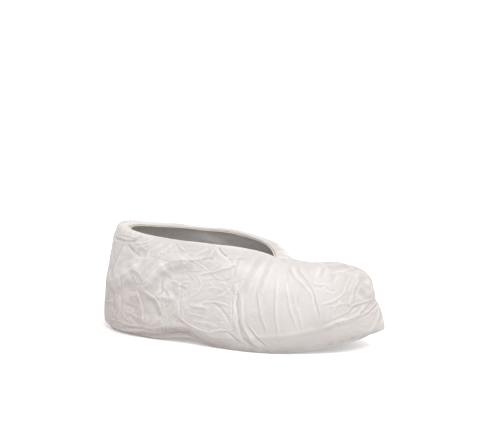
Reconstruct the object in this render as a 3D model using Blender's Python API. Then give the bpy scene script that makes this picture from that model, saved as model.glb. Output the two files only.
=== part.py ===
"""Overshoe: a disposable cover of non-woven sheet, standing empty in the form that wearing gave it.

Metres, +Z up. The toe points along +X and the lateral side of the foot faces -Y. The origin is on the floor,
under the middle of the overshoe. The wall is a surface of two parameters: an angle round the foot (0 at the
heel, pi at the toe) and a height share from the seam under the foot (0) to the edge of the collar (1).
"""

from collections import namedtuple

import bpy
import numpy as np

MM = 0.001

# Driving sizes, in millimetres
HEEL_FACE = -157.0       # x of the back of the heel
TOE_FACE = 148.0         # x of the front of the toe, without its fin
HEEL_WIDTH = 83.0        # widths of the wall at the four stations
WAIST_WIDTH = 96.0
BALL_WIDTH = 115.0
TOE_WIDTH = 86.0
ARCH_HEIGHT = 6.0        # how far the sole line lifts off the floor at the arch
TOE_SPRING = 19.0        # and at the toe face
HEEL_BREAST_X = -92.0    # end of the flat heel
ARCH_TOP_X = -52.0
BALL_FROM_X = -20.0      # the flat of the ball runs from here
SPRING_FROM_X = 40.0     # to here, where the toe starts to lift
SPRING_POWER = 1.7
FIN_LENGTH = 9.0         # corner of the sheet that stands out at the toe
FIN_HALF_ANGLE = 0.075
FIN_SHARPNESS = 1.3      # 2 would be a round ridge, 1 a sharp one
FIN_FULLNESS = 0.45      # how quickly it reaches its length below and above
WALL_THICKNESS = 0.8
SOLE_THICKNESS = 1.0
ELASTIC_THICKNESS = 1.0
GAP = 0.3                # between pieces that meet

# Share of a ring's length at which its widths and heights are given
STATIONS = (0.14, 0.38, 0.60, 0.85)
END_BLUNTNESS = 0.80     # below 1 the ends of a ring are flatter than an ellipse's

# y of the middle of the foot along its length: the curve of a right shoe
CurvePoint = namedtuple("CurvePoint", "x y")
FOOT_CURVE = (
    CurvePoint(-157, 4.0),
    CurvePoint(-110, 3.0),
    CurvePoint(-40, -2.0),
    CurvePoint(30, 0.5),
    CurvePoint(105, 7.0),
    CurvePoint(157, 13.0),
)

# One row for each ring of the wall. back and front: how far the ring lies inside the heel face and the toe face.
# w_...: shares of the widths above. z_...: heights over the sole line at the back, the stations and the front.
# rise: share of the arch and the toe spring that the ring follows. dip: extra drop at the very front, where the
# collar ends in the throat. tilt: how much lower the lateral side is, and the medial side higher.
Ring = namedtuple(
    "Ring",
    "back front w_heel w_waist w_ball w_toe z_back z_heel z_waist z_ball z_toe z_front rise dip tilt",
)
RINGS = {
    "seam": Ring(10, 7, 0.78, 0.80, 0.83, 0.81, 0.2, 0.2, 0.2, 0.2, 0.2, 0.2, 1.0, 0, 0),
    "bottom edge": Ring(3, 1, 0.92, 0.94, 0.95, 0.93, 4.5, 4.5, 4.5, 4.5, 4.5, 4.5, 1.0, 0, 0),
    "welt": Ring(0, 0, 0.99, 1.00, 1.00, 1.00, 20, 20, 20, 21, 19, 17, 0.9, 0, 0),
    "side": Ring(1.5, 3.5, 1.00, 1.00, 0.96, 0.98, 48, 48, 46, 44, 43, 42, 0.7, 0, 0),
    "shoulder": Ring(4.5, 12.5, 0.98, 0.94, 0.87, 0.90, 76, 74, 70, 67, 66, 72, 0.5, 0, 0),
    "vamp": Ring(8.5, 38, 0.93, 0.88, 0.78, 0.77, 98, 94, 88, 83, 79, 89, 0.3, 0, 1),
    "below collar": Ring(12, 86, 0.89, 0.82, 0.70, 0.70, 112, 107, 103, 99, 90, 90, 0, 0, 2),
    "collar fold": Ring(15.5, 102, 0.77, 0.77, 0.645, 0.63, 119.5, 116, 114, 113.5, 108.5, 102, 0, 10, 3),
    "collar edge": Ring(26, 114, 0.61, 0.68, 0.58, 0.56, 116, 114, 113, 112, 107.5, 102, 0, 9, 3),
}
DIP_POWER = 24           # how suddenly a ring drops at the throat
TILT_POWER = 1.5         # how the tilt grows from the heel to the toe

# Grid of the wall
COLUMNS = 84
ROWS = 25
END_DENSITY = 0.15       # draws the columns together at the heel and the toe
ELASTIC_ROWS = 3         # rows of the wall, counted from its edge, that the elastic lines
ELASTIC_PROUD = 1.2      # how far the elastic shows beyond the edge of the collar


def clear_scene():
    for thing in list(bpy.data.objects):
        bpy.data.objects.remove(thing, do_unlink=True)


def ease(t):
    """Goes smoothly from 0 to 1 as t does."""
    t = np.clip(t, 0, 1)
    return t * t * (3 - 2 * t)


def through(knots, values, at):
    """A smooth curve through values at the knots, read at the given places. values may hold whole rings."""
    knots, values, at = np.asarray(knots, float), np.asarray(values, float), np.asarray(at, float)
    extra = (1,) * (values.ndim - 1)
    step = np.diff(knots).reshape((-1,) + extra)
    chord = np.diff(values, axis=0) / step
    inner = (chord[:-1] * step[1:] + chord[1:] * step[:-1]) / (step[:-1] + step[1:])
    slope = np.concatenate([chord[:1], inner, chord[-1:]])
    span = np.clip(np.searchsorted(knots, at) - 1, 0, len(knots) - 2)
    width = step[span]
    t = (at - knots[span]).reshape(at.shape + extra) / width
    start = (1 + 2 * t) * (1 - t) ** 2 * values[span] + t * (1 - t) ** 2 * width * slope[span]
    end = t * t * (3 - 2 * t) * values[span + 1] + t * t * (t - 1) * width * slope[span + 1]
    return start + end


def sole_line(x):
    """Height of the sole over the floor: a flat heel, the arch, a flat ball and the toe spring."""
    up = ease((x - HEEL_BREAST_X) / (ARCH_TOP_X - HEEL_BREAST_X))
    down = ease((x - ARCH_TOP_X) / (BALL_FROM_X - ARCH_TOP_X))
    along = np.clip((x - SPRING_FROM_X) / (TOE_FACE - SPRING_FROM_X), 0, None)
    return ARCH_HEIGHT * up * (1 - down) + TOE_SPRING * along**SPRING_POWER


def foot_curve(x):
    ends = FOOT_CURVE[0].x, FOOT_CURVE[-1].x
    return through([p.x for p in FOOT_CURVE], [p.y for p in FOOT_CURVE], np.clip(x, *ends))


def ring_points(ring, angle):
    """One closed ring: a long rounded loop whose half width and height run smoothly through the stations."""
    along = (1 - np.cos(angle)) / 2
    stations = np.array([0, *STATIONS, 1])
    half = np.array([HEEL_WIDTH, WAIST_WIDTH, BALL_WIDTH, TOE_WIDTH]) / 2
    half *= (ring.w_heel, ring.w_waist, ring.w_ball, ring.w_toe)
    fullness = half / np.sin(np.arccos(1 - 2 * stations[1:-1])) ** END_BLUNTNESS
    fullness = through(stations, [fullness[0], *fullness, fullness[-1]], along)
    side = np.sin(angle)
    x = (HEEL_FACE + ring.back) * (1 - along) + (TOE_FACE - ring.front) * along
    y = -np.sign(side) * fullness * np.abs(side) ** END_BLUNTNESS
    heights = (ring.z_back, ring.z_heel, ring.z_waist, ring.z_ball, ring.z_toe, ring.z_front)
    z = through(stations, heights, along) + ring.rise * sole_line(x)
    z -= ring.tilt * side * along**TILT_POWER + ring.dip * along**DIP_POWER
    return np.stack([x, y, z], axis=-1)


def fin_push(angle, share):
    """How far the corner of the sheet pushes the wall forward: a narrow ridge from the bottom edge to the side."""
    knots = np.linspace(0, 1, len(RINGS))
    ridge = np.exp(-(np.abs(angle - np.pi) / FIN_HALF_ANGLE) ** FIN_SHARPNESS)
    below = np.clip(share / knots[1], 0, 1)
    above = np.clip((knots[3] - share) / (knots[3] - knots[1]), 0, 1)
    return FIN_LENGTH * np.minimum(below, above)[:, None] ** FIN_FULLNESS * ridge


def wall_surface(angle, share):
    """Points of the wall's outer face, indexed by height share and by angle."""
    rings = np.stack([ring_points(ring, angle) for ring in RINGS.values()])
    points = through(np.linspace(0, 1, len(rings)), rings, share)
    points[..., 0] += fin_push(angle, share)
    points[..., 1] += foot_curve(points[..., 0])
    return points


def outward(points):
    """Unit normals of a grid of points that closes on itself round the foot."""
    round_foot = np.roll(points, -1, axis=1) - np.roll(points, 1, axis=1)
    upward = np.gradient(points, axis=0)
    normal = np.cross(round_foot, upward)
    return normal / np.linalg.norm(normal, axis=-1, keepdims=True)


def column_angles():
    even = np.linspace(0, 2 * np.pi, COLUMNS, endpoint=False)
    return even - END_DENSITY * np.sin(2 * even)


def band_faces(rows):
    """Quads between neighbouring rows and columns of a grid that closes on itself, facing out."""
    row, column = np.mgrid[0 : rows - 1, 0:COLUMNS]
    beside = (column + 1) % COLUMNS
    corners = [row * COLUMNS + column, row * COLUMNS + beside]
    corners += [corner + COLUMNS for corner in reversed(corners)]
    return np.stack(corners, axis=-1).reshape(-1, 4).tolist()


def ladder_faces():
    """Faces across a closed outline, each rung joining a lateral point to the medial point opposite, facing down."""
    half = COLUMNS // 2
    rungs = [(i, COLUMNS - i) for i in range(1, half)]
    faces = [(0, COLUMNS - 1, 1), (half - 1, half + 1, half)]
    for (near, far), (near_next, far_next) in zip(rungs, rungs[1:]):
        faces.append((near, far, far_next, near_next))
    return faces


def fabric(name, colour, roughness):
    material = bpy.data.materials.new(name)
    material.use_nodes = True
    shader = material.node_tree.nodes["Principled BSDF"]
    shader.inputs["Base Color"].default_value = (*colour, 1)
    shader.inputs["Roughness"].default_value = roughness
    shader.inputs["Metallic"].default_value = 0
    return material


def add_piece(name, points, faces, material):
    mesh = bpy.data.meshes.new(name)
    mesh.from_pydata((points.reshape(-1, 3) * MM).tolist(), [], faces)
    mesh.materials.append(material)
    mesh.shade_smooth()
    piece = bpy.data.objects.new(name, mesh)
    bpy.context.scene.collection.objects.link(piece)
    return piece


def add_band(name, outer, inner, material):
    """A closed band between two grids: out over the outer face, over the upper rim and back down the inner face."""
    loop = np.concatenate([outer, inner[::-1], outer[:1]])
    rows = len(loop) - 1
    faces = np.array(band_faces(len(loop))) % (rows * COLUMNS)
    return add_piece(name, loop[:-1], faces.tolist(), material)


def add_upper(material):
    wall = wall_surface(column_angles(), np.linspace(0, 1, ROWS))
    return add_band("upper", wall, wall - WALL_THICKNESS * outward(wall), material)


def add_sole(material):
    """A panel a gap inside the wall's lower edge, flat across and bent along the sole line."""
    wall = wall_surface(column_angles(), np.linspace(0, 1, ROWS))
    seam = (wall - WALL_THICKNESS * outward(wall))[0]
    along_seam = (np.roll(seam, -1, axis=0) - np.roll(seam, 1, axis=0))[:, :2]
    inward = np.stack([-along_seam[:, 1], along_seam[:, 0]], axis=-1)
    outline = seam.copy()
    outline[:, :2] += GAP * inward / np.linalg.norm(inward, axis=-1, keepdims=True)
    outline[:, 2] = sole_line(outline[:, 0])
    sole = add_piece("sole", outline, ladder_faces(), material)
    panel = sole.modifiers.new("thickness", "SOLIDIFY")
    panel.thickness = SOLE_THICKNESS * MM
    panel.offset = -1
    return sole


def add_collar_elastic(material):
    """A band under the last rows of the wall, which stands a little proud of the collar's edge."""
    wall = wall_surface(column_angles(), np.linspace(0, 1, ROWS))
    normal = outward(wall)[-ELASTIC_ROWS:]
    wall = wall[-ELASTIC_ROWS:]
    onward = wall[-1] - wall[-2]
    onward /= np.linalg.norm(onward, axis=-1, keepdims=True)
    wall = np.concatenate([wall, wall[-1:] + ELASTIC_PROUD * onward])
    normal = np.concatenate([normal, normal[-1:]])
    near = WALL_THICKNESS + GAP
    far = near + ELASTIC_THICKNESS
    return add_band("collar_elastic", wall - near * normal, wall - far * normal, material)


def main():
    clear_scene()
    add_upper(fabric("white_nonwoven", (0.83, 0.81, 0.79), 0.75))
    add_sole(fabric("sole_nonwoven", (0.74, 0.71, 0.69), 0.8))
    add_collar_elastic(fabric("cream_elastic", (0.78, 0.68, 0.54), 0.7))


main()
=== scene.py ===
# %% [markdown]
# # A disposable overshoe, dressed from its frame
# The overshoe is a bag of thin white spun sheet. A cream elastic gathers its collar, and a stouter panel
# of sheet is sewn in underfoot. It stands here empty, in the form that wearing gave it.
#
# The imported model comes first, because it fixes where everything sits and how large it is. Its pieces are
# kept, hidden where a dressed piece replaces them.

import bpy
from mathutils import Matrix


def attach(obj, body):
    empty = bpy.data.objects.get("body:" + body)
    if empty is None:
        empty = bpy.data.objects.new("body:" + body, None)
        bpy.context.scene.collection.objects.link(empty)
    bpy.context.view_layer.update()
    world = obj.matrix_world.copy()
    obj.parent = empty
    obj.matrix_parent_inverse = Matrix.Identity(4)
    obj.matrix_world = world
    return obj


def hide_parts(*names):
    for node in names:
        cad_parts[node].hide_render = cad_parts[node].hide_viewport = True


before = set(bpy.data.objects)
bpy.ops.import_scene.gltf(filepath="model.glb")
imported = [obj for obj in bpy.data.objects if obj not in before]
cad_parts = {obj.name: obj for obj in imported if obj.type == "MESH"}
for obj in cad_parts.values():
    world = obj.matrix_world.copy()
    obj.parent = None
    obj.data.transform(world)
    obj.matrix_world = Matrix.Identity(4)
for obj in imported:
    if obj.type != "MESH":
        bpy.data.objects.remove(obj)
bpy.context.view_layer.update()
print("nodes of the frame:", sorted(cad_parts))

# %% Tools for the rest of the file
from collections import namedtuple

import bpy
import numpy as np
from mathutils import Matrix, Vector

MM = 0.001                         # the sizes below are in millimetres, and Blender's unit is the metre
LUCK = np.random.default_rng(7)    # seeded, so that every run draws the same small creases


def in_mm(values):
    """The least and the greatest of some values, in words."""
    return f"from {values.min():.2f} to {values.max():.2f} mm"


# %% [markdown]
# ## The wall of the last
# Footwear takes its form from a last, so the sheet starts as the smooth wall that the frame has: nine
# rings, from the seam under the foot to the edge of the collar, each a long rounded loop. A subdivision
# cage could hold the same form, but a function of two numbers is better for creases: the angle says where
# a point is round the foot (0 at the heel, pi at the toe), and the share says how high it is between the
# seam (0) and the collar's edge (1).

# %% Driving sizes of the last
HEEL_FACE, TOE_FACE = -157.0, 148.0
WIDTHS = np.array([83.0, 96.0, 115.0, 86.0])          # at the heel, the waist, the ball and the toe
STATIONS = np.array([0, 0.14, 0.38, 0.60, 0.85, 1])   # the ends, and those four, as shares of a length
END_BLUNTNESS = 0.80                                  # below 1 a ring's ends are flatter than an ellipse's
ARCH_HEIGHT, TOE_SPRING, SPRING_POWER = 6.0, 19.0, 1.7
HEEL_BREAST_X, ARCH_TOP_X, BALL_FROM_X, SPRING_FROM_X = -92.0, -52.0, -20.0, 40.0
FIN_LENGTH, FIN_HALF_ANGLE, FIN_SHARPNESS, FIN_FULLNESS = 9.0, 0.075, 1.3, 0.45
FOOT_CURVE_X = (-157, -110, -40, 30, 105, 157)
FOOT_CURVE_Y = (4.0, 3.0, -2.0, 0.5, 7.0, 13.0)
DIP_POWER, TILT_POWER = 24, 1.5
WALL_THICKNESS = 0.8

# back and front: how far a ring lies inside the heel face and the toe face. widths: shares of WIDTHS.
# heights: over the sole line, at the six stations. rise: share of the arch and toe spring that it follows.
# dip: extra drop at the throat. tilt: how much lower the lateral side is, and the medial side higher.
Ring = namedtuple("Ring", "back front widths heights rise dip tilt")
RINGS = (
    Ring(10, 7, (0.78, 0.80, 0.83, 0.81), (0.2, 0.2, 0.2, 0.2, 0.2, 0.2), 1.0, 0, 0),
    Ring(3, 1, (0.92, 0.94, 0.95, 0.93), (4.5, 4.5, 4.5, 4.5, 4.5, 4.5), 1.0, 0, 0),
    Ring(0, 0, (0.99, 1.00, 1.00, 1.00), (20, 20, 20, 21, 19, 17), 0.9, 0, 0),
    Ring(1.5, 3.5, (1.00, 1.00, 0.96, 0.98), (48, 48, 46, 44, 43, 42), 0.7, 0, 0),
    Ring(4.5, 12.5, (0.98, 0.94, 0.87, 0.90), (76, 74, 70, 67, 66, 72), 0.5, 0, 0),
    Ring(8.5, 38, (0.93, 0.88, 0.78, 0.77), (98, 94, 88, 83, 79, 89), 0.3, 0, 1),
    Ring(12, 86, (0.89, 0.82, 0.70, 0.70), (112, 107, 103, 99, 90, 90), 0, 0, 2),
    Ring(15.5, 102, (0.77, 0.77, 0.645, 0.63), (119.5, 116, 114, 113.5, 108.5, 102), 0, 10, 3),
    Ring(26, 114, (0.61, 0.68, 0.58, 0.56), (116, 114, 113, 112, 107.5, 102), 0, 9, 3),
)
RING_SHARES = np.linspace(0, 1, len(RINGS))
EDGE_SHARE, SIDE_SHARE, FOLD_SHARE = RING_SHARES[[1, 3, 7]]   # bottom edge, side and the collar's fold
WELT_RING, FOLD_RING = RINGS[2], RINGS[7]
print("rings of the wall:", len(RINGS))


# %% Smooth curves
def ease(t):
    """3t^2 - 2t^3: goes smoothly from 0 to 1 as t does, and stays there outside."""
    t = np.clip(t, 0, 1)
    return t * t * (3 - 2 * t)


def smooth_step(values, start, end):
    """A smooth step from 0 at the start to 1 at the end, which may lie below the start."""
    return ease((values - start) / (end - start))


def through(knots, values, at):
    """A cubic through values at the knots. The slope at a knot is weighed from the chords beside it."""
    knots, values, at = np.asarray(knots, float), np.asarray(values, float), np.asarray(at, float)
    extra = (1,) * (values.ndim - 1)
    step = np.diff(knots).reshape((-1,) + extra)
    chord = np.diff(values, axis=0) / step
    inner = (chord[:-1] * step[1:] + chord[1:] * step[:-1]) / (step[:-1] + step[1:])
    slope = np.concatenate([chord[:1], inner, chord[-1:]])
    span = np.clip(np.searchsorted(knots, at) - 1, 0, len(knots) - 2)
    width = step[span]
    t = (at - knots[span]).reshape(at.shape + extra) / width
    start = (1 + 2 * t) * (1 - t) ** 2 * values[span] + t * (1 - t) ** 2 * width * slope[span]
    end = t * t * (3 - 2 * t) * values[span + 1] + t * t * (t - 1) * width * slope[span + 1]
    return start + end


print("a smooth step at a quarter of its way:", ease(0.25))


# %% Rings of the last
def sole_line(x):
    """Height of the sole: flat heel, an eased arch, flat ball, then a power curve for the toe spring."""
    up = smooth_step(x, HEEL_BREAST_X, ARCH_TOP_X)
    down = smooth_step(x, ARCH_TOP_X, BALL_FROM_X)
    along = np.clip((x - SPRING_FROM_X) / (TOE_FACE - SPRING_FROM_X), 0, None)
    return ARCH_HEIGHT * up * (1 - down) + TOE_SPRING * along**SPRING_POWER


def foot_curve(x):
    """Sideways place of the middle of the foot, a cubic through six points: the curve of a right foot."""
    return through(FOOT_CURVE_X, FOOT_CURVE_Y, np.clip(x, FOOT_CURVE_X[0], FOOT_CURVE_X[-1]))


def ring_points(ring, angle):
    """x runs as a cosine from heel to toe. y is the sine to a power, times a slowly changing width."""
    along = (1 - np.cos(angle)) / 2
    fullness = WIDTHS / 2 * ring.widths / np.sin(np.arccos(1 - 2 * STATIONS[1:-1])) ** END_BLUNTNESS
    fullness = through(STATIONS, [fullness[0], *fullness, fullness[-1]], along)
    side = np.sin(angle)
    x = (HEEL_FACE + ring.back) * (1 - along) + (TOE_FACE - ring.front) * along
    y = -np.sign(side) * fullness * np.abs(side) ** END_BLUNTNESS
    z = through(STATIONS, ring.heights, along) + ring.rise * sole_line(x)
    z -= ring.tilt * side * along**TILT_POWER + ring.dip * along**DIP_POWER
    return np.stack([x, y, z], axis=-1)


print("height of the sole at the toe:", round(float(sole_line(TOE_FACE)), 1), "mm")


# %% Wall through the rings
def fin_push(angle, share):
    """Corner of the sheet at the toe: exp(-|angle - pi|^p), from the bottom edge up to the side."""
    crest = np.exp(-(np.abs(angle - np.pi) / FIN_HALF_ANGLE) ** FIN_SHARPNESS)
    below = np.clip(share / EDGE_SHARE, 0, 1)
    above = np.clip((SIDE_SHARE - share) / (SIDE_SHARE - EDGE_SHARE), 0, 1)
    return FIN_LENGTH * np.minimum(below, above)[:, None] ** FIN_FULLNESS * crest


def wall_surface(angle, share, with_fin=True):
    """Points of the smooth wall, by share and angle: a cubic through the rings, and the foot's curve."""
    rings = np.stack([ring_points(ring, angle) for ring in RINGS])
    points = through(RING_SHARES, rings, share)
    if with_fin:
        points[..., 0] += fin_push(angle, share)
    points[..., 1] += foot_curve(points[..., 0])
    return points


def outward(points):
    """Unit normals of a grid that closes round the foot: the cross product of its two directions."""
    round_foot = np.roll(points, -1, axis=1) - np.roll(points, 1, axis=1)
    normal = np.cross(round_foot, np.gradient(points, axis=0))
    return normal / np.linalg.norm(normal, axis=-1, keepdims=True)


print("corner of the toe in mm:", wall_surface(np.array([np.pi]), np.array([EDGE_SHARE])).round(1).tolist())

# %% A fine grid of the wall
LATERAL_COLUMNS, MEDIAL_COLUMNS, ROWS = 364, 256, 146     # finer on the side that is looked at
COLUMNS = LATERAL_COLUMNS + MEDIAL_COLUMNS
FINE_STEPS = 2001                                         # of the curves that lengths are read from


def length_along(points):
    """Length from the first point of a path to each of its points: the running sum of its steps."""
    return np.concatenate([[0], np.cumsum(np.linalg.norm(np.diff(points, axis=0), axis=1))])


def even_angles(count):
    """Angles from heel to toe at equal steps along the welt: the length of a half ring, read backwards."""
    fine = np.linspace(0, np.pi, FINE_STEPS)
    length = length_along(ring_points(WELT_RING, fine))
    return np.interp(np.linspace(0, length[-1], count, endpoint=False), length, fine)


def even_shares(count):
    """Shares from seam to collar at equal steps up the lateral waist: the length upwards, read backwards."""
    fine = np.linspace(0, 1, FINE_STEPS)
    length = length_along(wall_surface(np.array([np.pi / 2]), fine)[:, 0])
    return np.interp(np.linspace(0, length[-1], count), length, fine)


angle = np.concatenate([even_angles(LATERAL_COLUMNS), 2 * np.pi - even_angles(MEDIAL_COLUMNS)[:0:-1]])
angle = np.insert(angle, LATERAL_COLUMNS, np.pi)
share = even_shares(ROWS)
share_up = share[:, None]                       # as a column, to set against the angles
wall = wall_surface(angle, share)
wall_x, wall_z = wall[..., 0], wall[..., 2]
wall_normal = outward(wall)
longest_step = np.linalg.norm(np.diff(wall, axis=1), axis=-1).max()
print("wall grid:", wall.shape[:2], "longest step round the foot:", round(float(longest_step), 2), "mm")

# %% [markdown]
# ## The main folds, given one by one
# A worn overshoe keeps its folds: a deep one across the waist, a fan that spreads from the throat,
# crinkles round the heel, and rolls over the toe. Cloth simulation would give folds, but not these ones.
# So each fold is a line that is drawn on a plain view of the overshoe, in its own millimetres, and
# pressed straight into the wall.
#
# On the lateral and medial views a point is (x, z), on the top view (x, y), and on the back and front
# views (y, z). A roll is round and a ridge has a sharp crest. Either reaches its own distance to the left
# and to the right, so a ridge with one short side is a tuck, whose short side lies in shade. Lines run
# towards the toe or downwards, so left is up or towards the toe. A negative height makes a trough.
#
# Narrow ridges are sharper than the grid can hold. So the distance to the nearest of their lines is noted
# at each place, and the finish draws a fine edge there.


# %% Kinds of fold
def round_crest(r):
    """(1 - r^2)^2, where r is the distance from the line over the reach."""
    return (1 - r * r) ** 2


def sharp_crest(r):
    """(1 - r)^1.25, where r is the distance from the line over the reach."""
    return (1 - r) ** 1.25


Fold = namedtuple("Fold", "crest height left right path")


def roll(height, left, right, *path):
    """A round fold of a height, with its reach to the left and to the right of a path."""
    return Fold(round_crest, height, left, right, path)


def ridge(height, left, right, *path):
    """A fold with a sharp crest, given as a roll is."""
    return Fold(sharp_crest, height, left, right, path)


# across and upward: the axes of a view. facing: the axis that it looks along. sign: from which side.
View = namedtuple("View", "across upward facing sign")
VIEWS = {
    "lateral": View(0, 2, 1, -1),
    "medial": View(0, 2, 1, 1),
    "top": View(0, 1, 2, 1),
    "back": View(1, 2, 0, -1),
    "front": View(1, 2, 0, 1),
}
print("views that folds are drawn on:", list(VIEWS))

# %% Paths of folds
PATH_STEPS = 8     # short straight legs between two points of a path


def smooth_path(path):
    """A cubic through a fold's points, read at short steps. Its knots are lengths along straight legs."""
    path = np.array(path, float)
    knots = length_along(path)
    return through(knots, path, np.linspace(0, knots[-1], PATH_STEPS * (len(path) - 1) + 1))


def beside_path(points, path):
    """Each point's distance to the nearest leg of a path, above 0 on the left, and the length to there."""
    leg = np.diff(path, axis=0)
    length = np.linalg.norm(leg, axis=1)
    from_start = points[:, None] - path[:-1]
    along = np.clip((from_start * leg).sum(-1) / length**2, 0, 1)
    distance = np.linalg.norm(from_start - along[..., None] * leg, axis=-1)
    nearest = distance.argmin(axis=1)
    pick = np.arange(len(points)), nearest
    turn = leg[nearest, 0] * from_start[pick][:, 1] - leg[nearest, 1] * from_start[pick][:, 0]
    return np.sign(turn) * distance[pick], length_along(path)[nearest] + along[pick] * length[nearest]


print("points of a smooth path through three:", len(smooth_path([(0, 0), (1, 1), (2, 0)])))

# %% How a fold is pressed
TURNED_AWAY, TURNED_TO = 0.05, 0.30   # how far a place faces a view where folds start to show, and do fully
TAPER = 0.25                          # share of a fold's length over which it dies out at each end
WAVER, SWELL = 0.35, 0.35             # how far a line strays, in millimetres, and how much its height varies
WAVE_LENGTHS = np.array([37.0, 21.0, 13.0])   # of both, in millimetres along the line
LINE_REACH = 3.0                      # how far from a line it is noted, in millimetres
LINE_WIDTH, FULL_LINE = 3.0, 0.8      # ridges no wider on one side have a line, full from this height on
line_distance = np.full(wall.shape[:2], LINE_REACH)
line_strength = np.zeros(wall.shape[:2])


def note_line(places, distance, strength):
    """Keeps the distance and strength of a line at the places where no line so far is nearer."""
    nearer = np.abs(distance) < np.abs(line_distance[places])
    line_distance[places] = np.where(nearer, distance, line_distance[places])
    line_strength[places] = np.where(nearer, strength, line_strength[places])


def unevenly(walked):
    """Mean of a few sines of the length walked along a line, with drawn phases."""
    phases = LUCK.uniform(0, 2 * np.pi, len(WAVE_LENGTHS))
    return np.sin(2 * np.pi * walked[:, None] / WAVE_LENGTHS + phases).mean(axis=1)


def seen_from(face):
    """How fully each place faces a view: a smooth step of its normal. A side ends at the foot's middle."""
    view = VIEWS[face]
    facing = smooth_step(view.sign * wall_normal[..., view.facing], TURNED_AWAY, TURNED_TO)
    if face in ("lateral", "medial"):
        facing = facing * ((np.sin(angle) > 0) == (face == "lateral"))
    return facing


def press(folds):
    """Height of all the folds: height * crest(distance / reach), dying out at both ends of each path."""
    relief = np.zeros(wall.shape[:2])
    for face, rows in folds.items():
        facing = seen_from(face)
        flat = wall[..., (VIEWS[face].across, VIEWS[face].upward)]
        for fold in rows:
            path = smooth_path(fold.path)
            margin = max(fold.left, fold.right)
            near = (flat > path.min(0) - margin).all(-1) & (flat < path.max(0) + margin).all(-1)
            near &= facing > 0
            distance, walked = beside_path(flat[near], path)
            along = walked / length_along(path)[-1]
            shown = ease(along / TAPER) * ease((1 - along) / TAPER) * facing[near]
            shown *= 1 + SWELL * unevenly(walked)
            distance += WAVER * unevenly(walked)
            across = np.clip(np.abs(distance) / np.where(distance > 0, fold.left, fold.right), 0, 1)
            relief[near] += fold.height * fold.crest(across) * shown
            if fold.crest is sharp_crest and min(fold.left, fold.right) <= LINE_WIDTH:
                note_line(near, distance, np.clip(fold.height / FULL_LINE, -1, 1) * shown)
    return relief


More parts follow.
